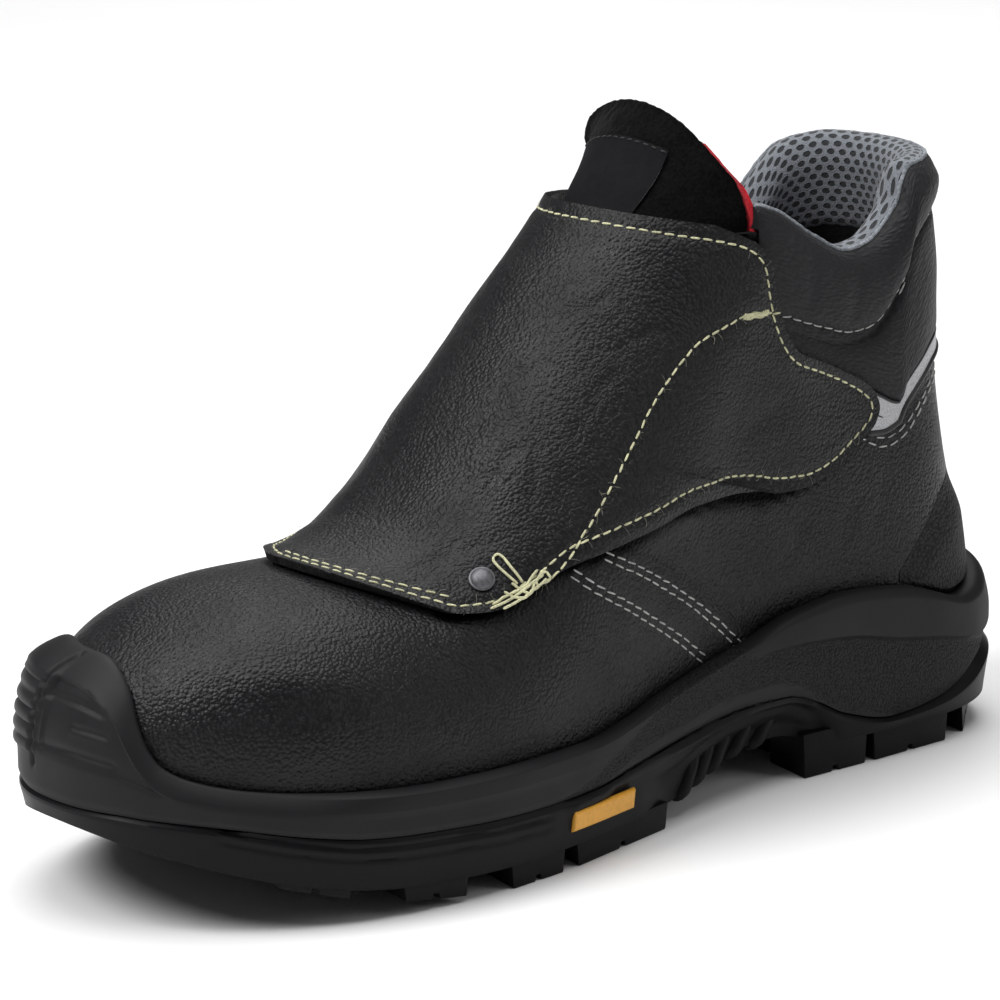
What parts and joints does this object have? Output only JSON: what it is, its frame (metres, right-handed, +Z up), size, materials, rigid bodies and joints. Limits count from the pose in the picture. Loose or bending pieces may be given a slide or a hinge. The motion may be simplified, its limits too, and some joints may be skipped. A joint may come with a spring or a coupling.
{
  "type": "welder's safety boot",
  "caption": "Black leather ankle safety boot, left foot, with a spark flap over the laces, padded collar, toe bumper and a lugged cup sole.",
  "frame": {"origin": "on the floor, under the middle of the boot's bounding box", "axes": "+X towards the toe, +Y towards the outer (lateral) side of the left foot, +Z up"},
  "size_m": [0.308, 0.113, 0.1848],
  "materials": {
    "outsole_rubber": "moulded black rubber, satin",
    "midsole_pu": "moulded black polyurethane, partly stippled",
    "insole_felt": "grey needled felt",
    "upper_leather": "black pebbled cowhide, semi-gloss",
    "flap_leather": "black pebbled cowhide, semi-gloss, raw cut edges",
    "collar_padding": "soft black grained synthetic over foam",
    "tongue_suede": "black suede with a napped face",
    "label_satin": "plain black woven satin",
    "counter_rubber": "coarse textured black rubber",
    "reflective_tape": "light grey retroreflective tape",
    "rivet_steel": "gunmetal lacquered steel",
    "amber_rubber": "amber moulded rubber",
    "spark_thread": "yellow-green aramid sewing thread",
    "seam_thread": "off-white polyester sewing thread",
    "lining_mesh": "grey spacer mesh lining",
    "red_felt": "bright red felt edge"
  },
  "bodies": {
    "root": {"outsole": "outsole_rubber", "midsole": "midsole_pu", "insole": "insole_felt", "upper": "upper_leather", "collar": "collar_padding", "tongue": "tongue_suede", "tongue_label": "label_satin", "flap": "flap_leather", "heel_counter": "counter_rubber", "reflective_strip": "reflective_tape", "back_tab": "upper_leather", "rivet": "rivet_steel", "sole_badge": "amber_rubber"}
  },
  "joints": []
}
